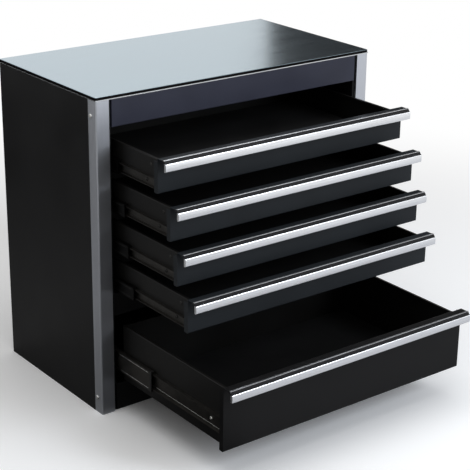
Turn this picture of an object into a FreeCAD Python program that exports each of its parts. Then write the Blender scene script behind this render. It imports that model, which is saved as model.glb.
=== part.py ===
import FreeCAD, Part
import math
import os
from FreeCAD import Vector

os.makedirs("parts", exist_ok=True)

# Steel tool chest: five drawers on ball-bearing slides in a folded sheet cabinet,
# with aluminium corner posts and a full-width aluminium pull on every drawer.
# Millimetres. X to the right seen from the front, Y to the back, Z up.
# The origin is the centre of the cabinet's underside. The drawers are modelled
# standing open by the amounts in the drawer table.

# Cabinet
WIDTH = 700.0
DEPTH = 380.0
HEIGHT = 680.0
SHEET = 1.2
BEND_RADIUS = 2.0
FRONT = -DEPTH / 2
BACK = DEPTH / 2
SIDE = WIDTH / 2

# Top sheet and the bright strip under its rim
TOP_RIM = 6.0
TOP_OVERHANG = 1.0
TOP_CORNER_RADIUS = 6.0
TRIM_HEIGHT = 2.0
TRIM_WIDTH = 4.0
TRIM_PROUD = 0.5
RIM_BOTTOM = HEIGHT - TOP_RIM
BODY_TOP = RIM_BOTTOM - TRIM_HEIGHT

# Corner posts
POST_WIDTH = 30.0
POST_DEPTH = 28.0
POST_WALL = 2.2
POST_CORNER_RADIUS = 3.0
POST_RETURN = 12.0
POST_GROOVES = 4
POST_GROOVE_PITCH = 4.6
POST_GROOVE_WIDTH = 1.2
POST_GROOVE_DEEP = 0.7

# Side, back and base sheets
SHEET_FLANGE = 14.0
TONGUE_LENGTH = 14.0
BASE_FLANGE = 20.0

# Screws that hold each post to the side sheet
SCREW_SHANK_RADIUS = 2.4
SCREW_HOLE_RADIUS = 2.45
SCREW_HEAD_RADIUS = 4.5
SCREW_HEAD_HEIGHT = 2.0
SCREW_HEAD_FLAT = 2.9
SCREW_HEAD_RIM = 0.9
SCREW_LENGTH = 9.0
SCREW_SETBACK = 19.0
SCREW_HEIGHTS = (34.0, 640.0)

# Uprights that carry the slides
UPRIGHT_INSET = 37.0
UPRIGHT_DEPTH = 40.0
UPRIGHT_RECESS = 5.0
UPRIGHT_LIP = 6.0
UPRIGHT_FLANGE = 17.0
UPRIGHT_FACE = SIDE - UPRIGHT_INSET

# Fixed panels between the uprights
PANEL_RECESS = 1.0
HEADER_BOTTOM = 615.0
HEADER_DEPTH = 14.0
RAIL_BOTTOM = 213.0
RAIL_TOP = 263.0
RAIL_RECESS = 6.0
RAIL_DEPTH = 24.0
PLINTH_TOP = 60.0
PLINTH_RECESS = 3.0

# Drawer fronts
PANEL_INSET = 38.0
PANEL_DEPTH = 12.0
PANEL_LIP = 10.0
LEDGE = 19.5
PANEL_SIDE = SIDE - PANEL_INSET
CLOSED_PANEL = FRONT + PANEL_RECESS

# Pull section: forward of the panel's face and above or below the ledge's top
PULL_REACH = 27.0
PULL_LIP_BACK = 17.5
PULL_LIP_FRONT = 21.0
PULL_LIP_HEIGHT = 1.2
PULL_SLOPE_FRONT = 25.4
PULL_SLOPE_DROP = 4.4
PULL_CROWN = (26.55, -5.4)
PULL_BAND_TOP = -7.2
PULL_BAND_BOTTOM = -19.0
PULL_BAND_BULGE = 0.4
PULL_BOTTOM = -21.3
PULL_BACK = 21.6
PULL_TOE_BACK = 14.0
PULL_TOE_BOTTOM = -3.2
PULL_EDGE = 1.2
PULL_TOE_EDGE = 2.0
PULL_RIBS = 2
PULL_RIB_DEEP = 0.8

# Drawer boxes
DRAWER_SHEET = 1.0
BOX_LENGTH = 346.0
BOX_LIFT = 4.0
BOX_DROP = 8.0
HEM_WIDTH = 6.0
HEM_DROP = 4.0
BOX_BEND_RADIUS = 1.6
LINER = 2.0
LINER_GAP = 0.5

# Slides: three nested channels, and between them the retainers that hold the balls.
# Places across the slide run from the upright's face towards the drawer.
SLIDE_SPACE = 13.0
SLIDE_GAUGE = 1.2
SLIDE_BEND_RADIUS = 1.6
SLIDE_LENGTH = 340.0
SLIDE_MIDDLE_LENGTH = 290.0
SLIDE_SETBACK = 1.0
SLIDE_OUTER_REACH = 9.6
SLIDE_OUTER_LIP = 2.6
SLIDE_MIDDLE_START = 3.2
SLIDE_MIDDLE_END = 11.2
SLIDE_INNER_START = 6.0
SLIDE_MIDDLE_RATIO = 0.5
RETAINER_GAUGE = 0.6
OUTER_RETAINER = (1.9, 7.6)
OUTER_RETAINER_START = 95.0
OUTER_RETAINER_LENGTH = 150.0
OUTER_RETAINER_RATIO = 0.25
INNER_RETAINER = (4.9, 10.6)
INNER_RETAINER_START = 144.0
INNER_RETAINER_LENGTH = 102.0
INNER_RETAINER_RATIO = 0.75
BOX_SIDE = UPRIGHT_FACE - SLIDE_SPACE

# Drawers from the top: underside of the front, height of the front, how far it
# stands open, slide height, height of the slide's centre above the underside,
# and the ball diameter.
DRAWERS = (
    (522.0, 70.0, 153.0, 35.0, 14.0, 2.8),
    (438.0, 70.0, 194.0, 35.0, 14.0, 2.8),
    (354.0, 70.0, 216.0, 35.0, 14.0, 2.8),
    (270.0, 70.0, 250.0, 35.0, 14.0, 2.8),
    (67.0, 135.0, 364.0, 53.0, 47.0, 3.5),
)


def block(x0, x1, y0, y1, z0, z1):
    """Box between two corners."""
    return Part.makeBox(x1 - x0, y1 - y0, z1 - z0, Vector(x0, y0, z0))


def corner_arc(before, here, after, radius):
    """Start, middle and end of the arc that rounds the corner at here."""
    back = (before - here).normalize()
    on = (after - here).normalize()
    half_angle = back.getAngle(on) / 2
    reach = radius / math.tan(half_angle)
    inset = radius / math.sin(half_angle) - radius
    return here + back * reach, here + (back + on).normalize() * inset, here + on * reach


def outline_face(corners, place):
    """Face inside (a, b) corners, placed by place(a, b); a third value rounds a corner."""
    flat = [Vector(corner[0], corner[1], 0) for corner in corners]
    turns = []
    for index, corner in enumerate(corners):
        turn = [flat[index]]
        if len(corner) == 3:
            turn = corner_arc(flat[index - 1], flat[index], flat[(index + 1) % len(flat)], corner[2])
        turns.append([place(point.x, point.y) for point in turn])
    edges = []
    for before, turn in zip(turns[-1:] + turns, turns):
        edges.append(Part.makeLine(before[-1], turn[0]))
        if len(turn) == 3:
            edges.append(Part.Arc(*turn).toShape())
    return Part.Face(Part.Wire(edges))


def along_x(corners, x0, x1):
    """Prism of a closed (y, z) outline between two X values."""
    return outline_face(corners, lambda y, z: Vector(x0, y, z)).extrude(Vector(x1 - x0, 0, 0))


def along_y(corners, y0, y1):
    """Prism of a closed (x, z) outline between two Y values."""
    return outline_face(corners, lambda x, z: Vector(x, y0, z)).extrude(Vector(0, y1 - y0, 0))


def along_z(corners, z0, z1):
    """Prism of a closed (x, y) outline between two Z values."""
    return outline_face(corners, lambda x, y: Vector(x, y, z0)).extrude(Vector(0, 0, z1 - z0))


def mirrored_corners(corners, a=1, b=1):
    """The corners in the opposite order, their coordinates multiplied by a and b."""
    return [(a * corner[0], b * corner[1], *corner[2:]) for corner in reversed(corners)]


def mirrored(shape):
    """The same shape on the other side of the chest."""
    return shape.mirror(Vector(0, 0, 0), Vector(1, 0, 0))


def joined(first, *rest):
    """One solid made of pieces that touch or overlap."""
    return first.fuse(list(rest)).removeSplitter()


def save(name, *solids):
    """Write a node as one STEP file."""
    shape = solids[0] if len(solids) == 1 else Part.makeCompound(list(solids))
    shape.exportStep("parts/%s.step" % name)


def folded_panel(half_width, y_front, depth, z0, z1):
    """Sheet face with flanges folded back on all four edges."""
    y_back = y_front + depth
    section = [
        (y_front, z0, BEND_RADIUS), (y_back, z0), (y_back, z0 + SHEET),
        (y_front + SHEET, z0 + SHEET), (y_front + SHEET, z1 - SHEET),
        (y_back, z1 - SHEET), (y_back, z1), (y_front, z1, BEND_RADIUS),
    ]
    rim = [(y_front, z0, BEND_RADIUS), (y_back, z0), (y_back, z1), (y_front, z1, BEND_RADIUS)]
    face = along_x(section, -half_width, half_width)
    end = along_x(rim, half_width - SHEET, half_width)
    return joined(face, end, mirrored(end))


def corner_post():
    """Left aluminium post: an angle with a rounded corner and a grooved side."""
    x, y = -SIDE, FRONT
    rear = y + POST_DEPTH
    inner_x = x + POST_WIDTH
    first_groove = y + (POST_DEPTH - (POST_GROOVES - 1) * POST_GROOVE_PITCH) / 2
    corners = [(x, rear)]
    for number in reversed(range(POST_GROOVES)):
        centre = first_groove + number * POST_GROOVE_PITCH
        corners += [
            (x, centre + POST_GROOVE_WIDTH / 2), (x + POST_GROOVE_DEEP, centre),
            (x, centre - POST_GROOVE_WIDTH / 2),
        ]
    corners += [
        (x, y, POST_CORNER_RADIUS), (inner_x, y), (inner_x, y + POST_RETURN),
        (inner_x - POST_WALL, y + POST_RETURN), (inner_x - POST_WALL, y + POST_WALL),
        (x + POST_WALL, y + POST_WALL), (x + POST_WALL, rear),
    ]
    return along_z(corners, 0, BODY_TOP).cut(screw_holes())


def screw_holes():
    """Drills for the screws through the left post and the side sheet's tongue."""
    drills = [
        Part.makeCylinder(SCREW_HOLE_RADIUS, 2 * SCREW_LENGTH,
                          Vector(-SIDE - SCREW_LENGTH, FRONT + SCREW_SETBACK, z), Vector(1, 0, 0))
        for z in SCREW_HEIGHTS
    ]
    return Part.makeCompound(drills)


def post_screw(z):
    """Screw in the left post, its axis along X, its head bevelled."""
    corners = [
        (-SCREW_HEAD_HEIGHT, 0), (-SCREW_HEAD_HEIGHT, SCREW_HEAD_FLAT),
        (-SCREW_HEAD_RIM, SCREW_HEAD_RADIUS), (0, SCREW_HEAD_RADIUS), (0, SCREW_SHANK_RADIUS),
        (SCREW_LENGTH, SCREW_SHANK_RADIUS), (SCREW_LENGTH, 0),
    ]
    profile = outline_face(corners, lambda x, radius: Vector(x, radius, 0))
    screw = profile.revolve(Vector(0, 0, 0), Vector(1, 0, 0), 360)
    screw.translate(Vector(-SIDE, FRONT + SCREW_SETBACK, z))
    return screw


def side_sheet():
    """Left side: outer sheet, a tongue inside the post and a flange at the back."""
    x = -SIDE
    joint = FRONT + POST_DEPTH
    tongue = x + POST_WALL
    section = [
        (x, joint), (x, BACK, BEND_RADIUS), (x + SHEET_FLANGE, BACK), (x + SHEET_FLANGE, BACK - SHEET),
        (x + SHEET, BACK - SHEET), (x + SHEET, joint + 2 * SHEET),
        (tongue + SHEET, joint + 2 * SHEET), (tongue + SHEET, joint - TONGUE_LENGTH),
        (tongue, joint - TONGUE_LENGTH), (tongue, joint),
    ]
    return along_z(section, 0, BODY_TOP).cut(screw_holes())


def back_sheet():
    """Back sheet inside the side flanges, up to the underside of the top."""
    inner = SIDE - SHEET
    return block(-inner, inner, BACK - 2 * SHEET, BACK - SHEET, 0, HEIGHT - SHEET)


def base_sheet():
    """Base tray: floor with upturned flanges at the sides and the back."""
    inner = SIDE - SHEET
    y0 = FRONT + POST_DEPTH
    y1 = BACK - 2 * SHEET
    left = [
        (-inner, 0, BEND_RADIUS), (-inner, BASE_FLANGE),
        (-inner + SHEET, BASE_FLANGE), (-inner + SHEET, SHEET),
    ]
    floor = along_y(left + mirrored_corners(left, a=-1), y0, y1 - BEND_RADIUS)
    back = [
        (y1 - BASE_FLANGE, 0), (y1, 0, BEND_RADIUS), (y1, BASE_FLANGE), (y1 - SHEET, BASE_FLANGE),
        (y1 - SHEET, SHEET), (y1 - BASE_FLANGE, SHEET),
    ]
    flange = along_x(back, -inner + BEND_RADIUS, inner - BEND_RADIUS)
    notch = block(-inner, -SIDE + POST_WALL + SHEET, y0, y0 + 2 * SHEET, 0, BASE_FLANGE)
    return joined(floor, flange).cut([notch, mirrored(notch)])


def front_corner_edges(shape):
    """The upright edges on the front half of a block."""
    return [
        edge for edge in shape.Edges
        if edge.BoundBox.ZLength > edge.BoundBox.XLength + edge.BoundBox.YLength and edge.CenterOfMass.y < 0
    ]


def top_edges(shape):
    """The edges round a block's upper face, all of them well above the rim's lower edge."""
    return [edge for edge in shape.Edges if edge.BoundBox.ZMin > RIM_BOTTOM + SHEET]


def block_under_top(margin, height, corner_radius):
    """Block inside the top's outline by a margin, with rounded front corners."""
    x = SIDE + TOP_OVERHANG - margin
    shape = block(-x, x, FRONT - TOP_OVERHANG + margin, BACK - margin, RIM_BOTTOM, height)
    return shape.makeFillet(corner_radius, front_corner_edges(shape))


def top_sheet():
    """Top with a turned-down rim, its corners and its upper edge rounded."""
    outer = block_under_top(0, HEIGHT, TOP_CORNER_RADIUS)
    outer = outer.makeFillet(BEND_RADIUS, top_edges(outer))
    return outer.cut(block_under_top(SHEET, HEIGHT - SHEET, TOP_CORNER_RADIUS - SHEET))


def top_trim():
    """Bright strips under the rim, mitred at the front corners."""
    x1 = SIDE + TRIM_PROUD
    y1 = FRONT - TRIM_PROUD
    back = BACK - 2 * SHEET
    front = [(-x1, y1), (x1, y1), (x1 - TRIM_WIDTH, y1 + TRIM_WIDTH), (-x1 + TRIM_WIDTH, y1 + TRIM_WIDTH)]
    left = [(-x1, y1), (-x1 + TRIM_WIDTH, y1 + TRIM_WIDTH), (-x1 + TRIM_WIDTH, back), (-x1, back)]
    left_strip = along_z(left, BODY_TOP, RIM_BOTTOM)
    return along_z(front, BODY_TOP, RIM_BOTTOM), left_strip, mirrored(left_strip)


def front_upright():
    """Left front upright: a channel that faces the slides."""
    face = -UPRIGHT_FACE
    y0 = FRONT + UPRIGHT_RECESS
    y1 = y0 + UPRIGHT_DEPTH
    section = [
        (face - UPRIGHT_LIP, y0), (face, y0, BEND_RADIUS), (face, y1, BEND_RADIUS),
        (face - UPRIGHT_FLANGE, y1), (face - UPRIGHT_FLANGE, y1 - SHEET),
        (face - SHEET, y1 - SHEET), (face - SHEET, y0 + SHEET),
        (face - UPRIGHT_LIP, y0 + SHEET),
    ]
    return along_z(section, SHEET, HEIGHT - SHEET)


def rear_upright():
    """Left rear upright, against the base's back flange."""
    face = -UPRIGHT_FACE
    y1 = BACK - 3 * SHEET
    y0 = y1 - UPRIGHT_DEPTH
    section = [
        (face - UPRIGHT_FLANGE, y0), (face, y0, BEND_RADIUS), (face, y1, BEND_RADIUS),
        (face - UPRIGHT_FLANGE, y1), (face - UPRIGHT_FLANGE, y1 - SHEET),
        (face - SHEET, y1 - SHEET), (face - SHEET, y0 + SHEET),
        (face - UPRIGHT_FLANGE, y0 + SHEET),
    ]
    return along_z(section, SHEET, HEIGHT - SHEET)


def plinth():
    """Plinth under the lowest drawer, its foot reaching back to the base."""
    y0 = FRONT + PLINTH_RECESS
    y1 = FRONT + POST_DEPTH
    top = y0 + HEADER_DEPTH
    section = [
        (y0, 0, BEND_RADIUS), (y1, 0), (y1, SHEET), (y0 + SHEET, SHEET),
        (y0 + SHEET, PLINTH_TOP - SHEET), (top, PLINTH_TOP - SHEET), (top, PLINTH_TOP),
        (y0, PLINTH_TOP, BEND_RADIUS),
    ]
    return along_x(section, -UPRIGHT_FACE, UPRIGHT_FACE)


def drawer_front(y, z, height):
    """Folded front whose top edge turns forward as a ledge for the pull."""
    top = z + height
    back = y + PANEL_DEPTH
    section = [
        (y - LEDGE, top), (y - LEDGE, top - SHEET), (y, top - SHEET),
        (y, z, BEND_RADIUS), (back, z, BEND_RADIUS), (back, z + PANEL_LIP), (back - SHEET, z + PANEL_LIP),
        (back - SHEET, z + SHEET), (y + SHEET, z + SHEET),
        (y + SHEET, top, BEND_RADIUS),
    ]
    end_top = top - BOX_DROP + DRAWER_SHEET
    rim = [(y, z, BEND_RADIUS), (back, z, BEND_RADIUS), (back, end_top), (y, end_top)]
    face = along_x(section, -PANEL_SIDE, PANEL_SIDE)
    end = along_x(rim, PANEL_SIDE - SHEET, PANEL_SIDE)
    return joined(face, end, mirrored(end))


def drawer_pull(y, top):
    """Aluminium pull pushed over the ledge: ribbed slope, rounded band and a toe below."""
    def at(forward, up):
        return Vector(-PANEL_SIDE, y - forward, top + up)

    slope = []
    steps = 2 * PULL_RIBS
    for step in range(steps + 1):
        share = step / steps
        forward = PULL_LIP_FRONT + share * (PULL_SLOPE_FRONT - PULL_LIP_FRONT)
        up = PULL_LIP_HEIGHT - share * (PULL_LIP_HEIGHT + PULL_SLOPE_DROP)
        dip = PULL_RIB_DEEP if step % 2 else 0.0
        slope.append(at(forward - dip, up - dip))
    crown = Part.Arc(slope[-1], at(*PULL_CROWN), at(PULL_REACH, PULL_BAND_TOP)).toShape()
    bulge = at(PULL_REACH + PULL_BAND_BULGE, (PULL_BAND_TOP + PULL_BAND_BOTTOM) / 2)
    belly = Part.Arc(at(PULL_REACH, PULL_BAND_TOP), bulge, at(PULL_REACH, PULL_BAND_BOTTOM)).toShape()
    radius = PULL_BAND_BOTTOM - PULL_BOTTOM
    middle = radius * (1 - math.sqrt(0.5))
    round_foot = Part.Arc(at(PULL_REACH, PULL_BAND_BOTTOM), at(PULL_REACH - middle, PULL_BOTTOM + middle),
                          at(PULL_REACH - radius, PULL_BOTTOM)).toShape()
    tail = [
        at(PULL_REACH - radius, PULL_BOTTOM), at(PULL_BACK + PULL_EDGE, PULL_BOTTOM),
        at(PULL_BACK, PULL_BOTTOM + PULL_EDGE), at(PULL_BACK, PULL_TOE_BOTTOM - PULL_TOE_EDGE),
        at(PULL_BACK - PULL_TOE_EDGE, PULL_TOE_BOTTOM), at(PULL_TOE_BACK, PULL_TOE_BOTTOM),
        at(PULL_TOE_BACK, -SHEET), at(LEDGE, -SHEET), at(LEDGE, 0), at(PULL_LIP_BACK, 0),
        at(PULL_LIP_BACK, PULL_LIP_HEIGHT), at(PULL_LIP_FRONT, PULL_LIP_HEIGHT),
    ]
    edges = [Part.makeLine(a, b) for a, b in zip(slope, slope[1:])]
    edges += [crown, belly, round_foot]
    edges += [Part.makeLine(a, b) for a, b in zip(tail, tail[1:])]
    return Part.Face(Part.Wire(edges)).extrude(Vector(2 * PANEL_SIDE, 0, 0))


def drawer_box(y, z, height):
    """Folded tray with turned-in hems, closed to the front panel by a flange."""
    t = DRAWER_SHEET
    y0 = y + PANEL_DEPTH
    y1 = y0 + BOX_LENGTH
    z0 = z + BOX_LIFT
    z1 = z + height - BOX_DROP
    x = BOX_SIDE
    left = [
        (-x, z0, BOX_BEND_RADIUS), (-x, z1, BOX_BEND_RADIUS), (-x + HEM_WIDTH, z1),
        (-x + HEM_WIDTH, z1 - HEM_DROP), (-x + HEM_WIDTH - t, z1 - HEM_DROP),
        (-x + HEM_WIDTH - t, z1 - t), (-x + t, z1 - t), (-x + t, z0 + t),
    ]
    body = along_y(left + mirrored_corners(left, a=-1), y0, y1)
    front_section = [
        (y0, z0), (y0 + t, z0), (y0 + t, z1 + t, BOX_BEND_RADIUS), (y + SHEET, z1 + t),
        (y + SHEET, z1), (y0, z1),
    ]
    front_wall = along_x(front_section, -x + BOX_BEND_RADIUS, x - BOX_BEND_RADIUS)
    back_section = [
        (y1, z0), (y1, z1, BOX_BEND_RADIUS), (y1 - HEM_WIDTH, z1),
        (y1 - HEM_WIDTH, z1 - HEM_DROP), (y1 - HEM_WIDTH + t, z1 - HEM_DROP),
        (y1 - HEM_WIDTH + t, z1 - t), (y1 - t, z1 - t), (y1 - t, z0),
    ]
    back_wall = along_x(back_section, -x + BOX_BEND_RADIUS, x - BOX_BEND_RADIUS)
    return joined(body, front_wall, back_wall)


def drawer_liner(y, z):
    """Mat on the drawer's floor."""
    side = BOX_SIDE - DRAWER_SHEET - LINER_GAP
    y0 = y + PANEL_DEPTH + DRAWER_SHEET + LINER_GAP
    y1 = y + PANEL_DEPTH + BOX_LENGTH - DRAWER_SHEET - LINER_GAP
    floor = z + BOX_LIFT + DRAWER_SHEET
    return block(-side, side, y0, y1, floor, floor + LINER)


def channel(web, free, half, y0, length, z, gauge=SLIDE_GAUGE, lip=0.0):
    """Left slide piece: a channel with its web at one place and its flanges' edges at another.

    half is half its height. The flanges may end in a lip turned inwards.
    """
    toward = 1 if free > web else -1
    web_face = web + toward * gauge
    upper = [(web, half), (free, half), (free, half - gauge), (web_face, half - gauge)]
    if lip:
        upper[:3] = [
            (web, half, SLIDE_BEND_RADIUS), (free, half, SLIDE_BEND_RADIUS), (free, half - lip),
            (free - toward * gauge, half - lip), (free - toward * gauge, half - gauge),
        ]
    corners = upper + mirrored_corners(upper, b=-1)
    return along_y([(x - UPRIGHT_FACE, z + up, *rest) for x, up, *rest in corners], y0, y0 + length)


def slide_pieces(closed_y, travel, z, height, ball):
    """Members and ball retainers of the left slide by name, with the drawer at travel."""
    half = height / 2
    middle_half = half - SLIDE_GAUGE - ball
    inner_half = middle_half - SLIDE_GAUGE - ball
    above_track = (RETAINER_GAUGE - ball) / 2
    y0 = closed_y + PANEL_DEPTH + SLIDE_SETBACK
    middle_y = y0 + SLIDE_LENGTH - SLIDE_MIDDLE_LENGTH - SLIDE_MIDDLE_RATIO * travel
    outer_retainer_y = y0 + OUTER_RETAINER_START - OUTER_RETAINER_RATIO * travel
    inner_retainer_y = y0 + INNER_RETAINER_START - INNER_RETAINER_RATIO * travel
    return {
        "slide_outer": channel(0, SLIDE_OUTER_REACH, half, y0, SLIDE_LENGTH, z, lip=SLIDE_OUTER_LIP),
        "slide_middle": channel(SLIDE_MIDDLE_START, SLIDE_MIDDLE_END, middle_half, middle_y,
                                SLIDE_MIDDLE_LENGTH, z),
        "slide_inner": channel(SLIDE_SPACE, SLIDE_INNER_START, inner_half, y0 - travel, SLIDE_LENGTH, z),
        "retainer_outer": channel(*OUTER_RETAINER, half - SLIDE_GAUGE + above_track, outer_retainer_y,
                                  OUTER_RETAINER_LENGTH, z, RETAINER_GAUGE),
        "retainer_inner": channel(*INNER_RETAINER, middle_half - SLIDE_GAUGE + above_track, inner_retainer_y,
                                  INNER_RETAINER_LENGTH, z, RETAINER_GAUGE),
    }


# Cabinet
post = corner_post()
save("corner_post_left", post)
save("corner_post_right", mirrored(post))
side = side_sheet()
save("side_panel_left", side)
save("side_panel_right", mirrored(side))
save("back_panel", back_sheet())
save("base_panel", base_sheet())
save("top_panel", top_sheet())
save("top_trim", *top_trim())
save("header_panel", folded_panel(UPRIGHT_FACE, CLOSED_PANEL, HEADER_DEPTH, HEADER_BOTTOM, BODY_TOP))
save("middle_rail", folded_panel(UPRIGHT_FACE, FRONT + RAIL_RECESS, RAIL_DEPTH, RAIL_BOTTOM, RAIL_TOP))
save("plinth_rail", plinth())
upright = front_upright()
save("front_upright_left", upright)
save("front_upright_right", mirrored(upright))
upright = rear_upright()
save("rear_uprights", upright, mirrored(upright))
screws = [post_screw(z) for z in SCREW_HEIGHTS]
save("post_screws", *screws, *[mirrored(screw) for screw in screws])

# Drawers and their slides
for number, drawer in enumerate(DRAWERS, start=1):
    bottom, height, opening, slide_height, slide_lift, ball = drawer
    name = "drawer_%d_" % number
    travel = opening + PANEL_RECESS
    panel_y = CLOSED_PANEL - travel
    save(name + "front", drawer_front(panel_y, bottom, height))
    save(name + "pull", drawer_pull(panel_y, bottom + height))
    save(name + "box", drawer_box(panel_y, bottom, height))
    save(name + "liner", drawer_liner(panel_y, bottom))
    pieces = slide_pieces(CLOSED_PANEL, travel, bottom + slide_lift, slide_height, ball)
    for piece_name, piece in pieces.items():
        save(name + piece_name, piece, mirrored(piece))
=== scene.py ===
import math

import bmesh
import bpy
from mathutils import Matrix, Vector


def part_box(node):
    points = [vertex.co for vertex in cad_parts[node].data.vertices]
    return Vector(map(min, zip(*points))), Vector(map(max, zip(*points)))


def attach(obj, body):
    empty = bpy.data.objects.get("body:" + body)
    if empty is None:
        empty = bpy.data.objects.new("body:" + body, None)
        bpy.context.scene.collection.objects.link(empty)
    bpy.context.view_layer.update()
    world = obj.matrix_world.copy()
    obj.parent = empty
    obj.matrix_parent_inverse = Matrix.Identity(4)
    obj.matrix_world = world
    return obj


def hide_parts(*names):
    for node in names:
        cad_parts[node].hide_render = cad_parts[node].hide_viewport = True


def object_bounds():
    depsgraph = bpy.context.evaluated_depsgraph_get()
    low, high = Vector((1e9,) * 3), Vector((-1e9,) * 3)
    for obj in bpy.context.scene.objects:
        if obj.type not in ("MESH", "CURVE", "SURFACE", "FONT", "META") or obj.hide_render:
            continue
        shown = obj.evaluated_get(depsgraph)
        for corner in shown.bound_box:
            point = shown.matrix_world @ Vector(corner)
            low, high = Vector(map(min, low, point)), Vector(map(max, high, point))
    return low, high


# Looks of the tool chest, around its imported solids. Metres, in the part's own frame:
# X to the right seen from the front, Y to the back, Z up, origin under the cabinet.

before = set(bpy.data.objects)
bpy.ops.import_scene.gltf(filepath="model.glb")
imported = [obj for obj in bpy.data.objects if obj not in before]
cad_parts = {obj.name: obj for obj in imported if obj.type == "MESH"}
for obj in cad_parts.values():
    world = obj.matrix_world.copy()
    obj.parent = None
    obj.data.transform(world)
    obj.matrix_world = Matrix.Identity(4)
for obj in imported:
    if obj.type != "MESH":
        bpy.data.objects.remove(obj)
solids_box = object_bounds()

MM = 0.001
DRAWER_NUMBERS = (1, 2, 3, 4, 5)
SHALLOW_DRAWERS = (1, 2, 3, 4)

# Depths under a solid's highest point where its finish changes: the top sheet's flat ends at
# TOP_EDGE, and the dark slope of a pull lies between GRIP_TOP and GRIP_BOTTOM.
TOP_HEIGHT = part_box("top_panel")[1].z
TOP_EDGE = 0.5 * MM
GRIP_TOP = 0.6 * MM
GRIP_BOTTOM = 6.4 * MM

# Fine rounding of edges, for nodes with these endings, and smooth shading of new pieces
ROUNDED_ENDINGS = ("_pull", "_front", "_box", "panel", "rail", "left", "right", "trim")
EDGE_ROUND = 0.25 * MM
ROUND_SEGMENTS = 2
ROUND_ABOVE = math.radians(40.0)
SMOOTH_BELOW = math.radians(35.0)

# Heads as (radius, height) and a shank as (radius, length)
SCREW_HEAD = (3.6 * MM, 1.7 * MM)
POST_SCREW_HEAD = (4.5 * MM, 2.0 * MM)
POST_SCREW_SHANK = (2.4 * MM, 9.0 * MM)
SHANK_CHAMFER = 0.8 * MM
RIVET_HEAD = (3.2 * MM, 0.9 * MM)
TURNED_SEGMENTS = 24

# Shares of a head's height: its straight side, and the bottom of a cross recess
HEAD_SIDE = 0.4
RECESS_FLOOR = 0.35

# Shares of a radius: the flat on a head, a shank's tip, and a cross recess with its narrower bottom
SCREW_FLAT = 0.68
RIVET_FLAT = 0.35
SHANK_TIP = 0.7
RECESS_REACH = 0.56
RECESS_HALF_WIDTH = 0.14
RECESS_TAPER = 0.6

# Places and sizes of the hardware that the solids leave out
SLIDE_GAUGE = 1.2 * MM
SCREW_SETBACKS = (39 * MM, 245 * MM, 320 * MM)
RIVET_SETBACK = 26 * MM
RIVET_LIFT = 47 * MM
BACK_RIVETS = 5
BACK_RIVET_INSET = 40 * MM
BACK_RIVET_LIFT = 10 * MM
BALL_INSET = 3.7 * MM
BALL_PITCH = 9.0 * MM
BALL_END_ROOM = 4.5 * MM
BALL_PLAY = 0.02 * MM
BEAD_WIDTH = 1.4 * MM
BEAD_HEIGHT = 0.35 * MM
BEAD_STEPS = 6
BEAD_FROM_EDGE = 4.6 * MM
BEAD_END_ROOM = 8.0 * MM
CAP_WALL = 1.6 * MM
CAP_REACH = 4.6 * MM
CAP_PROUD = 0.3 * MM
CAP_LENGTH = 3.5 * MM
CAP_OVERHANG = 2.0 * MM
CAP_ROUND = 0.3 * MM

# Colours of the chest as linear values
BLACK_PAINT = (0.0042, 0.0042, 0.0045)
GRAPHITE_PAINT = (0.0132, 0.0156, 0.0182)
# Painted shade: the deep drawer's front is the fronts' paint made darker, for the less light that reaches
# it low down
DEEP_FRONT_PAINTED_SHADE = (0.0055, 0.0054, 0.0056)
# Painted light: the header's paint is the fronts' graphite made lighter and bluer, for the cool light on
# the upper front
HEADER_PAINTED_LIGHT = (0.0320, 0.0340, 0.0510)
DRAWER_PAINT = (0.0050, 0.0048, 0.0045)
MAT_RUBBER = (0.004, 0.004, 0.0042)
MIRROR_STEEL = (0.39, 0.482, 0.54)
BRIGHT_ALUMINIUM = (0.69, 0.70, 0.715)
TRIM_STEEL = (0.55, 0.56, 0.58)
SATIN_ALUMINIUM = (0.43, 0.445, 0.48)
DARK_GRIP = (0.008, 0.008, 0.009)
SLIDE_STEEL = (0.055, 0.052, 0.048)
# Painted shade: the slide steel made darker for the shallow drawers' outer and middle members, for the
# shade inside the cabinet
SLIDE_STEEL_PAINTED_SHADE = (0.010, 0.0095, 0.009)
ZINC = (0.62, 0.62, 0.60)
BALL_STEEL = (0.75, 0.75, 0.76)
# Painted highlight: the ribs on the deep drawer's slides are far lighter than the steel they are pressed
# into
BEAD_PAINTED_HIGHLIGHT = (0.34, 0.34, 0.33)
CAP_PLASTIC = (0.012, 0.012, 0.012)
# Dark plate for rivets. On the shallow drawers' slide screws and ribs it is painted shade, in place of the
# deep drawer's zinc and steel
DARK_PLATE_AND_SHADE = (0.045, 0.044, 0.042)

# Range that most values of a noise texture lie in, and the relief of streaks of contrast one
NOISE_LOW = 0.3
NOISE_HIGH = 0.7
STREAK_RELIEF = 0.1 * MM

# Camera, as fitted to the photograph, with its lens and sensor in millimetres
CAMERA_PLACE = Vector((-1.7175, -2.4088, 1.3960))
CAMERA_YAW = math.radians(37.58)
CAMERA_PITCH = math.radians(20.93)
CAMERA_ROLL = math.radians(-0.75)
CAMERA_LENS = 107.7
CAMERA_SENSOR = 36.0

# Lamps, with power in watts, and the strength of the world for rays that only gather light
OVERHEAD_PLACE = (-0.3, -0.4, 3.0)
OVERHEAD_AIM = (0.0, -0.2, 0.3)
OVERHEAD_SIZE = (2.4, 2.4)
OVERHEAD_POWER = 35.0
KEY_PLACE = (1.1, -2.6, 1.5)
KEY_AIM = (0.0, -0.3, 0.5)
KEY_SIZE = (1.0, 1.6)
KEY_POWER = 45.0
WORLD_LIGHT = 0.35
WHITE = (1.0, 1.0, 1.0)
KEY_COLOR = (0.88, 0.93, 1.0)

# Paper floor, and the distances from the origin between which it turns plain white. The colour
# that the camera sees is above one, to make up for the lamps' plain level.
FLOOR_SIZE = 60.0
FLAT_DIVISIONS = 8
WHITE_FROM = 0.8
WHITE_BEYOND = 2.0
PAPER_WHITE = (0.92, 0.92, 0.92)
PAPER_SEEN = (1.12, 1.12, 1.12)

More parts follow.
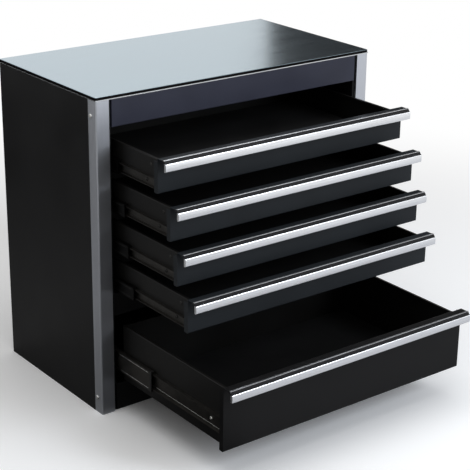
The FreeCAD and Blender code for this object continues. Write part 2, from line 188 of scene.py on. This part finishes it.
# Cards that only reflections show. Those on the floor have a front left corner, a back right
# corner and a lift above the floor. The top card stands upright behind the chest, and its turn
# and distance are from the camera.
FOOT_CARD = ((-2.6, -2.4), (0.6, 0.2), 1.0 * MM)
SIDE_CARD = ((-2.6, 0.2), (0.6, 1.6), 1.0 * MM)
BACK_CARD = ((-2.6, 1.6), (0.6, 4.0), 1.0 * MM)
CORNER_CARD = ((-1.0, -1.35), (-0.2, -0.2), 1.5 * MM)
FRONT_CARD = ((-0.2, -1.45), (2.0, -0.6), 2.0 * MM)
TOP_CARD_SIZE = (2.0, 3.6)
TOP_CARD_TURN = math.radians(10.75)
TOP_CARD_AWAY = 6.0
TOP_CARD_HEIGHT = 2.2
CARD_BLACK = (0.06, 0.06, 0.061)
CARD_DARK = (0.02, 0.02, 0.021)
CARD_GREY = (0.32, 0.318, 0.315)
CARD_SILVER = (0.50, 0.50, 0.50)
CARD_PALE = (0.70, 0.70, 0.72)


def seen_share(nodes, links):
    """One for rays from the camera, a mirror or glass, zero for rays that only gather light."""
    path = nodes.new("ShaderNodeLightPath")
    share = path.outputs["Is Camera Ray"]
    for kind in ("Is Glossy Ray", "Is Transmission Ray"):
        either = nodes.new("ShaderNodeMath")
        either.operation = "MAXIMUM"
        links.new(share, either.inputs[0])
        links.new(path.outputs[kind], either.inputs[1])
        share = either.outputs["Value"]
    return share


class Surface:
    """A node material with short calls that add nodes and join them to its shader."""

    def __init__(self, name, color, roughness=0.5, metallic=0.0, specular=0.5):
        self.material = bpy.data.materials.new(name)
        self.material.use_nodes = True
        self.nodes = self.material.node_tree.nodes
        self.links = self.material.node_tree.links
        self.shader = self.nodes["Principled BSDF"]
        self.shader.inputs["Roughness"].default_value = roughness
        self.shader.inputs["Metallic"].default_value = metallic
        self.shader.inputs["Specular IOR Level"].default_value = specular
        self.color = color
        self.place = self.nodes.new("ShaderNodeTexCoord").outputs["Object"]

    def join(self, output, socket):
        self.links.new(output, socket)

    def drive(self, socket_name, output):
        """Joins a node's output to a socket of the shader."""
        self.join(output, self.shader.inputs[socket_name])

    def noise(self, scale, detail=2.0, stretch=(1.0, 1.0, 1.0)):
        """Noise over the surface, drawn out where stretch is below one."""
        mapping = self.nodes.new("ShaderNodeMapping")
        mapping.inputs["Scale"].default_value = stretch
        texture = self.nodes.new("ShaderNodeTexNoise")
        texture.inputs["Scale"].default_value = scale
        texture.inputs["Detail"].default_value = detail
        self.join(self.place, mapping.inputs["Vector"])
        self.join(mapping.outputs["Vector"], texture.inputs["Vector"])
        return texture.outputs["Fac"]

    def streaks(self, along, scale=900.0, squeeze=0.012):
        """Noise drawn out along one axis, as brushing leaves it."""
        stretch = [1.0, 1.0, 1.0]
        stretch["XYZ".index(along)] = squeeze
        return self.noise(scale, detail=3.0, stretch=stretch)

    def between(self, value, low, high):
        """A noise's middle range spread from low to high."""
        spread = self.nodes.new("ShaderNodeMapRange")
        spread.inputs["From Min"].default_value = NOISE_LOW
        spread.inputs["From Max"].default_value = NOISE_HIGH
        spread.inputs["To Min"].default_value = low
        spread.inputs["To Max"].default_value = high
        self.join(value, spread.inputs["Value"])
        return spread.outputs["Result"]

    def step(self, value, edge, above=True):
        """One on one side of the edge and zero on the other."""
        compare = self.nodes.new("ShaderNodeMath")
        compare.operation = "GREATER_THAN" if above else "LESS_THAN"
        compare.inputs[1].default_value = edge
        self.join(value, compare.inputs[0])
        return compare.outputs["Value"]

    def combined(self, operation, first, second):
        """Two values joined into one by a Math node's operation."""
        node = self.nodes.new("ShaderNodeMath")
        node.operation = operation
        self.join(first, node.inputs[0])
        self.join(second, node.inputs[1])
        return node.outputs["Value"]

    def axis(self, name):
        """One coordinate of the place on the surface."""
        split = self.nodes.new("ShaderNodeSeparateXYZ")
        self.join(self.place, split.inputs["Vector"])
        return split.outputs[name]

    def mix(self, share, first, second):
        """Colour that goes from first to second with share; each is a colour or an output."""
        mixer = self.nodes.new("ShaderNodeMix")
        mixer.data_type = "RGBA"
        self.join(share, mixer.inputs["Factor"])
        for value, socket in ((first, mixer.inputs["A"]), (second, mixer.inputs["B"])):
            if isinstance(value, bpy.types.NodeSocket):
                self.join(value, socket)
            else:
                socket.default_value = (*value, 1.0)
        return mixer.outputs["Result"]

    def tint(self, value, amount):
        """The surface's own colour, made darker and lighter by a noise."""
        dark = tuple(channel * (1.0 - amount) for channel in self.color)
        light = tuple(channel * (1.0 + amount) for channel in self.color)
        return self.mix(self.between(value, low=0.0, high=1.0), dark, light)

    def bump(self, height, distance):
        relief = self.nodes.new("ShaderNodeBump")
        relief.inputs["Distance"].default_value = distance
        self.join(height, relief.inputs["Height"])
        return relief.outputs["Normal"]


def satin_paint(name, color, roughness, specular):
    """Powder coat: a fine orange-peel skin with slight clouding."""
    surface = Surface(name, color, specular=specular)
    skin = surface.noise(scale=1100.0, detail=3.0)
    clouds = surface.noise(scale=9.0)
    surface.drive("Base Color", surface.tint(clouds, amount=0.12))
    surface.drive("Roughness", surface.between(clouds, low=roughness - 0.04, high=roughness + 0.05))
    surface.drive("Normal", surface.bump(skin, distance=0.02 * MM))
    return surface.material


def brushed_metal(name, color, roughness, along, fine=0.06):
    """Metal brushed along one axis: fine streaks in colour, gloss and relief."""
    surface = Surface(name, color, metallic=1.0)
    streaks = surface.streaks(along)
    surface.drive("Base Color", surface.tint(streaks, amount=fine))
    surface.drive("Roughness", surface.between(streaks, low=roughness - fine, high=roughness + fine))
    surface.drive("Normal", surface.bump(streaks, distance=fine * STREAK_RELIEF))
    return surface.material


def pull_metal(number):
    """Brushed band of a drawer's pull, with a dark grooved slope between it and the lip."""
    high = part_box("drawer_%d_pull" % number)[1]
    surface = Surface("pull_aluminium_%d" % number, BRIGHT_ALUMINIUM, specular=0.2)
    streaks = surface.streaks("X")
    height = surface.axis("Z")
    band = surface.step(height, high.z - GRIP_BOTTOM, above=False)
    lip = surface.step(height, high.z - GRIP_TOP)
    bright = surface.combined("MAXIMUM", band, lip)
    surface.drive("Base Color", surface.mix(bright, DARK_GRIP, surface.tint(streaks, amount=0.06)))
    surface.drive("Metallic", bright)
    surface.drive("Roughness", surface.between(streaks, low=0.26, high=0.38))
    surface.drive("Normal", surface.bump(streaks, distance=0.006 * MM))
    return surface.material


def top_metal():
    """Polished steel on the flat of the top, black paint on its rim."""
    surface = Surface("top_sheet", MIRROR_STEEL, specular=0.03)
    streaks = surface.streaks("X", scale=420.0, squeeze=0.02)
    flat = surface.step(surface.axis("Z"), TOP_HEIGHT - TOP_EDGE)
    surface.drive("Base Color", surface.mix(flat, BLACK_PAINT, surface.tint(streaks, amount=0.05)))
    surface.drive("Metallic", flat)
    surface.drive("Roughness", surface.between(streaks, low=0.14, high=0.24))
    surface.drive("Normal", surface.bump(streaks, distance=0.004 * MM))
    return surface.material


def zinc_plate(name, color, roughness):
    """Plated steel with faint cloudy mottling."""
    surface = Surface(name, color, metallic=1.0)
    clouds = surface.noise(scale=60.0, detail=4.0)
    surface.drive("Base Color", surface.tint(clouds, amount=0.15))
    surface.drive("Roughness", surface.between(clouds, low=roughness - 0.06, high=roughness + 0.08))
    surface.drive("Normal", surface.bump(surface.noise(scale=800.0), distance=0.01 * MM))
    return surface.material


def rubber_mat():
    """Drawer mat with a fine moulded weave."""
    surface = Surface("liner", MAT_RUBBER, specular=0.2)
    weave = surface.nodes.new("ShaderNodeTexVoronoi")
    weave.feature = "DISTANCE_TO_EDGE"
    weave.inputs["Scale"].default_value = 260.0
    weave.inputs["Randomness"].default_value = 0.0
    surface.join(surface.place, weave.inputs["Vector"])
    clouds = surface.noise(scale=14.0)
    surface.drive("Base Color", surface.tint(clouds, amount=0.2))
    surface.drive("Roughness", surface.between(clouds, low=0.72, high=0.86))
    surface.drive("Normal", surface.bump(weave.outputs["Distance"], distance=0.25 * MM))
    return surface.material


def studio_paper():
    """White paper that keeps shadows near the chest and is plain white further off."""
    surface = Surface("studio_paper", PAPER_WHITE, roughness=0.9, specular=0.1)
    nodes = surface.nodes
    seen = seen_share(nodes, surface.links)
    tooth = surface.noise(scale=300.0)
    surface.drive("Base Color", surface.mix(seen, surface.tint(tooth, amount=0.01), PAPER_SEEN))
    surface.drive("Normal", surface.bump(tooth, distance=0.05 * MM))
    distance = nodes.new("ShaderNodeVectorMath")
    distance.operation = "LENGTH"
    surface.join(surface.place, distance.inputs[0])
    far = nodes.new("ShaderNodeMapRange")
    far.interpolation_type = "SMOOTHSTEP"
    far.inputs["From Min"].default_value = WHITE_FROM
    far.inputs["From Max"].default_value = WHITE_BEYOND
    surface.join(distance.outputs["Value"], far.inputs["Value"])
    glow = nodes.new("ShaderNodeEmission")
    blend = nodes.new("ShaderNodeMixShader")
    surface.join(surface.combined("MULTIPLY", seen, far.outputs["Result"]), blend.inputs["Fac"])
    surface.join(surface.shader.outputs["BSDF"], blend.inputs[1])
    surface.join(glow.outputs["Emission"], blend.inputs[2])
    surface.join(blend.outputs["Shader"], nodes["Material Output"].inputs["Surface"])
    return surface.material


def wear(node, material):
    """Gives a CAD node its finished material."""
    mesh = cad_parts[node].data
    mesh.materials.clear()
    mesh.materials.append(material)


def finish_cabinet():
    paint = satin_paint("cabinet_paint", BLACK_PAINT, roughness=0.42, specular=0.16)
    post = brushed_metal("post_aluminium", SATIN_ALUMINIUM, roughness=0.41, along="Z", fine=0.02)
    for node in ("side_panel_left", "side_panel_right", "back_panel", "base_panel", "middle_rail",
                 "plinth_rail", "front_upright_left", "front_upright_right", "rear_uprights"):
        wear(node, paint)
    # The header wears a lighter, bluer copy of the fronts' paint: painted light
    wear("header_panel", satin_paint("header_painted_light", HEADER_PAINTED_LIGHT, roughness=0.4, specular=0.15))
    wear("corner_post_left", post)
    wear("corner_post_right", post)
    wear("top_panel", top_metal())
    wear("top_trim", brushed_metal("trim", TRIM_STEEL, roughness=0.25, along="X"))


def finish_drawers():
    front = satin_paint("front_paint", GRAPHITE_PAINT, roughness=0.4, specular=0.12)
    # The deep front wears a darker copy of the fronts' paint: painted shade
    deep_front_shade = satin_paint("deep_front_painted_shade", DEEP_FRONT_PAINTED_SHADE, roughness=0.4, specular=0.12)
    inside = satin_paint("drawer_paint", DRAWER_PAINT, roughness=0.42, specular=0.18)
    slide = zinc_plate("slide_steel", SLIDE_STEEL, roughness=0.4)
    # A darker copy of the slide steel, as painted shade on the shallow drawers' outer and middle members
    shaded_slide = zinc_plate("slide_steel_painted_shade", SLIDE_STEEL_PAINTED_SHADE, roughness=0.4)
    retainer = zinc_plate("retainer_steel", ZINC, roughness=0.3)
    liner = rubber_mat()
    for number in DRAWER_NUMBERS:
        name = "drawer_%d_" % number
        shallow = number in SHALLOW_DRAWERS
        wear(name + "front", front if shallow else deep_front_shade)
        wear(name + "pull", pull_metal(number))
        wear(name + "box", inside)
        wear(name + "liner", liner)
        wear(name + "slide_inner", slide)
        for member in ("slide_outer", "slide_middle"):
            wear(name + member, shaded_slide if shallow else slide)
        for member in ("retainer_outer", "retainer_inner"):
            wear(name + member, retainer)


def soften(piece, width):
    """Fine rounding of a piece's sharp edges, so that they catch the light."""
    modifier = piece.modifiers.new("edge_round", "BEVEL")
    modifier.width = width
    modifier.segments = ROUND_SEGMENTS
    modifier.limit_method = "ANGLE"
    modifier.angle_limit = ROUND_ABOVE
    modifier.harden_normals = True


def round_edges():
    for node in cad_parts:
        if node.endswith(ROUNDED_ENDINGS):
            soften(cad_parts[node], EDGE_ROUND)


def turned(profile):
    """Surface of (along, radius) points turned round the X axis, and its last ring."""
    shape = bmesh.new()
    rings = []
    for along, radius in profile:
        ring = []
        for step in range(TURNED_SEGMENTS if radius else 1):
            angle = 2 * math.pi * step / TURNED_SEGMENTS
            ring.append(shape.verts.new((along, radius * math.cos(angle), radius * math.sin(angle))))
        rings.append(ring)
    for near, far in zip(rings, rings[1:]):
        for step in range(TURNED_SEGMENTS):
            after = (step + 1) % TURNED_SEGMENTS
            corners = (near[step % len(near)], near[after % len(near)],
                       far[after % len(far)], far[step % len(far)])
            shape.faces.new(list(dict.fromkeys(corners)))
    return shape, rings[-1]


def shoulder(radius, height, flat):
    """Profile points of a head's side and its rounded edge, up to the flat on its top."""
    points = [(0.0, radius), (-HEAD_SIDE * height, radius)]
    for degrees in (30, 60, 90):
        turn = math.radians(degrees)
        along = -height * (HEAD_SIDE + (1 - HEAD_SIDE) * math.sin(turn))
        points.append((along, flat + (radius - flat) * math.cos(turn)))
    return points


def ring_edges(shape, ring):
    return [shape.edges.get((before, here)) for before, here in zip(ring[-1:] + ring, ring)]


def add_cross_recess(shape, rim, radius, height):
    """Closes a head's top inside its rim, with a tapered cross sunk into the middle."""
    reach = RECESS_REACH * radius
    half = RECESS_HALF_WIDTH * radius
    floor = -RECESS_FLOOR * height
    corners = ((half, half), (half, reach), (-half, reach))
    cross = []
    for quarter in range(4):
        turn = Matrix.Rotation(quarter * math.pi / 2, 2)
        cross += [turn @ Vector(corner) for corner in corners]
    mouth = [shape.verts.new((-height, y, z)) for y, z in cross]
    bottom = [shape.verts.new((floor, RECESS_TAPER * y, RECESS_TAPER * z)) for y, z in cross]
    shape.faces.new(bottom)
    for before in range(len(cross)):
        here = before - 1
        shape.faces.new((mouth[before], mouth[here], bottom[here], bottom[before]))
    bmesh.ops.triangle_fill(shape, use_beauty=True, edges=ring_edges(shape, rim) + ring_edges(shape, mouth))


def screw_shape(head, shank=None):
    """Pan-head screw whose head rises from the origin towards -X, with a cross recess."""
    radius, height = head
    profile = [(0.0, 0.0)]
    if shank:
        core, length = shank
        profile = [(length, 0.0), (length, SHANK_TIP * core), (length - SHANK_CHAMFER, core), (0.0, core)]
    shape, rim = turned(profile + shoulder(radius, height, SCREW_FLAT * radius))
    add_cross_recess(shape, rim, radius, height)
    return shape


def rivet_shape(head):
    """Low domed rivet head that rises from the origin towards -X."""
    radius, height = head
    profile = [(0.0, 0.0)] + shoulder(radius, height, RIVET_FLAT * radius) + [(-height, 0.0)]
    return turned(profile)[0]


def ball_shape(radius):
    shape = bmesh.new()
    bmesh.ops.create_uvsphere(shape, u_segments=14, v_segments=9, radius=radius)
    return shape


def on_both_sides(points):
    """Places at points on the chest's left, and at their counterparts on its right."""
    left = [Matrix.Translation(point) for point in points]
    turn = Matrix.Rotation(math.pi, 4, "Z")
    right = [Matrix.Translation((-point.x, point.y, point.z)) @ turn for point in points]
    return left + right


def copies(shape, places):
    """One shape that holds a copy of another at every place."""
    template = bpy.data.meshes.new("template")
    shape.to_mesh(template)
    shape.free()
    gathered = bmesh.new()
    for place in places:
        first = len(gathered.verts)
        gathered.from_mesh(template)
        gathered.verts.ensure_lookup_table()
        bmesh.ops.transform(gathered, matrix=place, verts=gathered.verts[first:])
    bpy.data.meshes.remove(template)
    return gathered


def swept(outlines, y0, y1):
    """Prisms of closed (x, z) outlines along Y."""
    shape = bmesh.new()
    for outline in outlines:
        front = [shape.verts.new((x, y0, z)) for x, z in outline]
        back = [shape.verts.new((x, y1, z)) for x, z in outline]
        shape.faces.new(front)
        shape.faces.new(back)
        for here in range(len(outline)):
            shape.faces.new((front[here - 1], front[here], back[here], back[here - 1]))
    return shape


def add_piece(name, shape, material, body):
    """Makes a shape a smooth-shaded piece that moves with a CAD body."""
    bmesh.ops.recalc_face_normals(shape, faces=shape.faces)
    mesh = bpy.data.meshes.new(name)
    shape.to_mesh(mesh)
    shape.free()
    mesh.shade_smooth()
    mesh.set_sharp_from_angle(angle=SMOOTH_BELOW)
    mesh.materials.append(material)
    piece = bpy.data.objects.new(name, mesh)
    bpy.context.scene.collection.objects.link(piece)
    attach(piece, body)
    return piece


def add_post_screws(material):
    """Two screws on the side of each post, in place of the solid ones."""
    low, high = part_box("post_screws")
    radius, height = POST_SCREW_HEAD
    middle_y = (low.y + high.y) / 2
    points = [Vector((low.x + height, middle_y, z)) for z in (low.z + radius, high.z - radius)]
    screws = copies(screw_shape(POST_SCREW_HEAD, POST_SCREW_SHANK), on_both_sides(points))
    piece = add_piece("post_screw_set", screws, material, "cabinet")
    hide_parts("post_screws")


def add_back_rivets(material):
    """Row of rivets along the back sheet's foot, into the base's upturned flange."""
    low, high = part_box("back_panel")
    first = low.x + BACK_RIVET_INSET
    pitch = (high.x - BACK_RIVET_INSET - first) / (BACK_RIVETS - 1)
    turn = Matrix.Rotation(-math.pi / 2, 4, "Z")
    places = [
        Matrix.Translation((first + step * pitch, high.y, low.z + BACK_RIVET_LIFT)) @ turn
        for step in range(BACK_RIVETS)
    ]
    add_piece("back_rivets", copies(rivet_shape(RIVET_HEAD), places), material, "cabinet")


def add_slide_screws(number, material):
    """Screws through the webs of a drawer's inner members, into its box."""
    name = "drawer_%d_" % number
    low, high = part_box(name + "slide_inner")
    web_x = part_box(name + "box")[1].x + SLIDE_GAUGE
    middle_z = (low.z + high.z) / 2
    points = [Vector((-web_x, low.y + setback, middle_z)) for setback in SCREW_SETBACKS]
    screws = copies(screw_shape(SCREW_HEAD), on_both_sides(points))
    add_piece(name + "slide_screws", screws, material, "drawer_%d" % number)


def bead_outline(face_x, z):
    """Half-round rib on a web's face, sunk a little into it."""
    half = BEAD_WIDTH / 2
    outward = -1 if face_x < 0 else 1
    arc = []
    for step in range(BEAD_STEPS + 1):
        angle = math.pi * step / BEAD_STEPS
        arc.append((face_x + outward * BEAD_HEIGHT * math.sin(angle), z + half * math.cos(angle)))
    sunk = face_x - outward * BEAD_HEIGHT
    return arc + [(sunk, z - half), (sunk, z + half)]


def add_beads(name, node, web_x, material, body):
    """Ribs pressed along both sides' slide webs, above and below the middle."""
    low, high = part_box(node)
    outlines = [
        bead_outline(x, z)
        for x in (-web_x, web_x) for z in (low.z + BEAD_FROM_EDGE, high.z - BEAD_FROM_EDGE)
    ]
    shape = swept(outlines, low.y + BEAD_END_ROOM, high.y - BEAD_END_ROOM)
    add_piece(name, shape, material, body)


def add_slide_beads(number, material):
    """Ribs on a drawer's inner and middle members."""
    name = "drawer_%d_" % number
    inner_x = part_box(name + "box")[1].x + SLIDE_GAUGE
    middle_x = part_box(name + "slide_middle")[1].x
    add_beads(name + "beads_inner", name + "slide_inner", inner_x, material, "drawer_%d" % number)
    add_beads(name + "beads_middle", name + "slide_middle", middle_x, material, name + "slide")


def ball_rows(retainer, z_rows, radius):
    """Rows of balls along a retainer's two arms, on both sides."""
    low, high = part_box(retainer)
    first = low.y + BALL_END_ROOM
    count = int((high.y - low.y - 2 * BALL_END_ROOM) / BALL_PITCH) + 1
    points = [
        Vector((low.x + BALL_INSET, first + step * BALL_PITCH, z))
        for z in z_rows for step in range(count)
    ]
    return copies(ball_shape(radius), on_both_sides(points))


def add_balls(number, material):
    """Balls between the members: each row lies midway between one flange and the next."""
    name = "drawer_%d_" % number
    outer, middle, inner = [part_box(name + "slide_" + member) for member in ("outer", "middle", "inner")]
    for place, around, within in (("outer", outer, middle), ("inner", middle, inner)):
        track_top = around[1].z - SLIDE_GAUGE
        upper = (track_top + within[1].z) / 2
        lower = around[0].z + around[1].z - upper
        radius = (track_top - within[1].z) / 2 - BALL_PLAY
        rows = ball_rows(name + "retainer_" + place, (lower, upper), radius)
        body = name + place + "_retainer"
        add_piece(name + "balls_" + place, rows, material, body)


def add_box_rivets(number, material):
    """A rivet through each wall of a drawer's box, close behind its front."""
    name = "drawer_%d_" % number
    x = -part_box(name + "box")[1].x
    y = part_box(name + "slide_inner")[0].y + RIVET_SETBACK
    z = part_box(name + "front")[0].z + RIVET_LIFT
    rivets = copies(rivet_shape(RIVET_HEAD), on_both_sides([Vector((x, y, z))]))
    add_piece(name + "rivets", rivets, material, "drawer_%d" % number)


def add_end_caps(number, material):
    """Plastic guards clipped on the front ends of a drawer's two middle members."""
    name = "drawer_%d_" % number
    low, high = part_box(name + "slide_middle")
    outer_x = high.x + CAP_PROUD
    web_x = high.x - CAP_WALL
    free_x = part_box(name + "slide_inner")[1].x - CAP_REACH
    z0 = low.z - CAP_PROUD
    z1 = high.z + CAP_PROUD
    outline = [
        (outer_x, z0), (outer_x, z1), (free_x, z1), (free_x, z1 - CAP_WALL),
        (web_x, z1 - CAP_WALL), (web_x, z0 + CAP_WALL), (free_x, z0 + CAP_WALL), (free_x, z0),
    ]
    shape = swept([outline, [(-x, z) for x, z in outline]], low.y - CAP_OVERHANG, low.y + CAP_LENGTH)
    piece = add_piece(name + "end_caps", shape, material, name + "slide")
    soften(piece, CAP_ROUND)


def add_hardware():
    zinc = zinc_plate("screw_steel", ZINC, roughness=0.3)
    # Dark plate, which on the shallow drawers' slide screws and ribs is painted shade
    dark = zinc_plate("dark_plate_and_painted_shade", DARK_PLATE_AND_SHADE, roughness=0.4)
    ball = zinc_plate("ball_steel", BALL_STEEL, roughness=0.15)
    # Light steel for the deep drawer's ribs: a painted highlight
    bead_highlight = zinc_plate("bead_painted_highlight", BEAD_PAINTED_HIGHLIGHT, roughness=0.25)
    plastic = satin_paint("cap_plastic", CAP_PLASTIC, roughness=0.45, specular=0.2)
    add_post_screws(zinc)
    add_back_rivets(dark)
    for number in DRAWER_NUMBERS:
        shallow = number in SHALLOW_DRAWERS
        # The shallow drawers' slide screws and ribs get the dark plate as painted shade; the deep drawer's
        # get zinc and the painted highlight
        add_slide_screws(number, dark if shallow else zinc)
        add_slide_beads(number, dark if shallow else bead_highlight)
        add_balls(number, ball)
        if shallow:
            add_box_rivets(number, dark)
        else:
            add_end_caps(number, plastic)


def place_camera():
    """Camera turned by yaw from +Y towards +X, then down by pitch, then rolled."""
    forward = Vector((math.sin(CAMERA_YAW) * math.cos(CAMERA_PITCH),
                      math.cos(CAMERA_YAW) * math.cos(CAMERA_PITCH), -math.sin(CAMERA_PITCH)))
    level_right = Vector((math.cos(CAMERA_YAW), -math.sin(CAMERA_YAW), 0.0))
    level_down = forward.cross(level_right)
    right = level_right * math.cos(CAMERA_ROLL) + level_down * math.sin(CAMERA_ROLL)
    down = level_down * math.cos(CAMERA_ROLL) - level_right * math.sin(CAMERA_ROLL)
    data = bpy.data.cameras.new("camera")
    data.lens = CAMERA_LENS
    data.sensor_width = CAMERA_SENSOR
    camera = bpy.data.objects.new("camera", data)
    bpy.context.scene.collection.objects.link(camera)
    turn = Matrix((right, -down, -forward)).transposed()
    camera.matrix_world = Matrix.Translation(CAMERA_PLACE) @ turn.to_4x4()
    bpy.context.scene.camera = camera


def place_softbox(name, place, aim, size, power, color):
    """Rectangular area lamp at a place, turned to a point."""
    data = bpy.data.lights.new(name, "AREA")
    data.shape = "RECTANGLE"
    data.size, data.size_y = size
    data.energy = power
    data.color = color
    lamp = bpy.data.objects.new(name, data)
    lamp.location = place
    lamp.rotation_mode = "QUATERNION"
    lamp.rotation_quaternion = (Vector(place) - Vector(aim)).to_track_quat("Z", "Y")
    bpy.context.scene.collection.objects.link(lamp)


def studio_world():
    """Even pale surroundings: white where the camera or a mirror sees them, softer as light."""
    world = bpy.data.worlds.new("studio")
    world.use_nodes = True
    nodes, links = world.node_tree.nodes, world.node_tree.links
    background = nodes["Background"]
    background.inputs["Color"].default_value = (*WHITE, 1.0)
    strength = nodes.new("ShaderNodeMapRange")
    strength.inputs["To Min"].default_value = WORLD_LIGHT
    strength.inputs["To Max"].default_value = 1.0
    links.new(seen_share(nodes, links), strength.inputs["Value"])
    links.new(strength.outputs["Result"], background.inputs["Strength"])
    bpy.context.scene.world = world


def flat_piece(name, width, depth, material):
    """Flat rectangle in the XY plane with a few divisions."""
    mesh = bpy.data.meshes.new(name)
    grid = bmesh.new()
    bmesh.ops.create_grid(grid, x_segments=FLAT_DIVISIONS, y_segments=FLAT_DIVISIONS, size=1.0)
    bmesh.ops.scale(grid, verts=grid.verts, vec=(width / 2, depth / 2, 1.0))
    grid.to_mesh(mesh)
    grid.free()
    piece = bpy.data.objects.new(name, mesh)
    mesh.materials.append(material)
    bpy.context.scene.collection.objects.link(piece)
    return piece


def studio_floor():
    floor = flat_piece("floor", FLOOR_SIZE, FLOOR_SIZE, studio_paper())
    floor.location.z = solids_box[0].z


def mirrored_card(name, width, depth, front_color, back_color):
    """Card that only reflections show, its colour changing along its depth."""
    surface = Surface(name + "_cloth", front_color, roughness=0.9, specular=0.1)
    depth_share = surface.nodes.new("ShaderNodeMapRange")
    depth_share.inputs["From Min"].default_value = -depth / 2
    depth_share.inputs["From Max"].default_value = depth / 2
    surface.join(surface.axis("Y"), depth_share.inputs["Value"])
    cloth = surface.tint(surface.noise(scale=40.0), amount=0.1)
    surface.drive("Base Color", surface.mix(depth_share.outputs["Result"], cloth, back_color))
    card = flat_piece(name, width, depth, surface.material)
    card.visible_camera = False
    card.visible_diffuse = False
    card.visible_shadow = False
    return card


def place_top_card():
    """Upright black card that gives the top its dark right part."""
    away = CAMERA_YAW + TOP_CARD_TURN
    card = mirrored_card("top_card", *TOP_CARD_SIZE, CARD_BLACK, CARD_BLACK)
    card.location = CAMERA_PLACE + Vector((math.sin(away), math.cos(away), 0.0)) * TOP_CARD_AWAY
    card.location.z = TOP_CARD_HEIGHT
    card.rotation_euler = (math.radians(90.0), 0.0, -away)


def place_floor_cards():
    """Cards on the floor that give the posts, the fronts and the left side their shades."""
    floor_cards = (
        ("foot_card", FOOT_CARD, CARD_GREY, CARD_GREY),
        ("side_card", SIDE_CARD, CARD_SILVER, CARD_DARK),
        ("back_card", BACK_CARD, CARD_DARK, CARD_DARK),
        ("corner_card", CORNER_CARD, CARD_DARK, CARD_DARK),
        ("front_card", FRONT_CARD, CARD_PALE, CARD_PALE),
    )
    for name, extent, front_color, back_color in floor_cards:
        (x0, y0), (x1, y1), lift = extent
        card = mirrored_card(name, x1 - x0, y1 - y0, front_color, back_color)
        card.location = ((x0 + x1) / 2, (y0 + y1) / 2, solids_box[0].z + lift)


finish_cabinet()
finish_drawers()
round_edges()
add_hardware()

place_camera()
studio_world()
studio_floor()
place_top_card()
place_floor_cards()
place_softbox("overhead", OVERHEAD_PLACE, OVERHEAD_AIM, OVERHEAD_SIZE, OVERHEAD_POWER, WHITE)
place_softbox("key", KEY_PLACE, KEY_AIM, KEY_SIZE, KEY_POWER, KEY_COLOR)

bpy.context.scene.view_settings.view_transform = "Standard"
